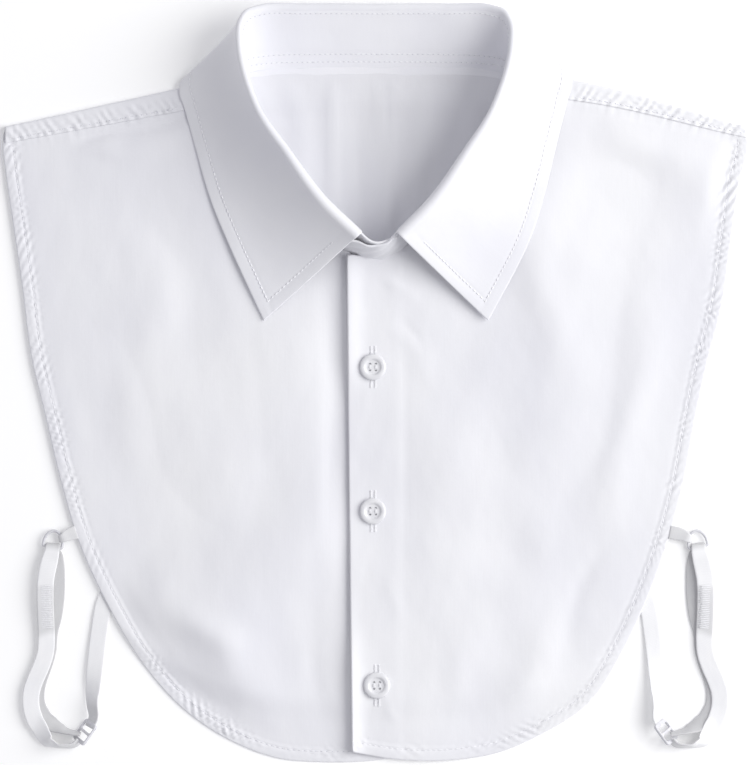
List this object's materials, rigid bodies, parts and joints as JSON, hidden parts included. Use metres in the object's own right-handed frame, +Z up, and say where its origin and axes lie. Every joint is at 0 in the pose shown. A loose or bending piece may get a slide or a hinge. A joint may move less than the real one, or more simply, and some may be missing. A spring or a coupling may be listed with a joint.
{
  "type": "detachable shirt collar",
  "caption": "Detachable shirt collar: a sleeveless half shirt with a standing collar, buttoned front placket and elastic side straps, laid flat.",
  "frame": {"origin": "on the surface it lies on, under the middle of its bounding box", "axes": "+Z up off the surface, +Y from the bottom hem towards the collar, +X towards the wearer's left front, which overlaps the other"},
  "size_m": [0.3352, 0.341, 0.034],
  "materials": {
    "white_poplin": "matt plain-weave cotton",
    "white_elastic": "ribbed woven elastic",
    "white_resin": "polished resin",
    "white_coated_wire": "nylon-coated wire"
  },
  "bodies": {
    "root": {"back_panel": "white_poplin", "front_under": "white_poplin", "front_over": "white_poplin", "collar_band": "white_poplin", "collar_leaf": "white_poplin", "button_1": "white_resin", "button_2": "white_resin", "button_3": "white_resin", "ring_left": "white_coated_wire", "ring_right": "white_coated_wire", "slider_left": "white_coated_wire", "slider_right": "white_coated_wire", "strap_loop_left": "white_elastic", "strap_loop_right": "white_elastic", "strap_back_left": "white_elastic", "strap_back_right": "white_elastic", "tab_left": "white_elastic", "tab_right": "white_elastic"}
  },
  "joints": []
}
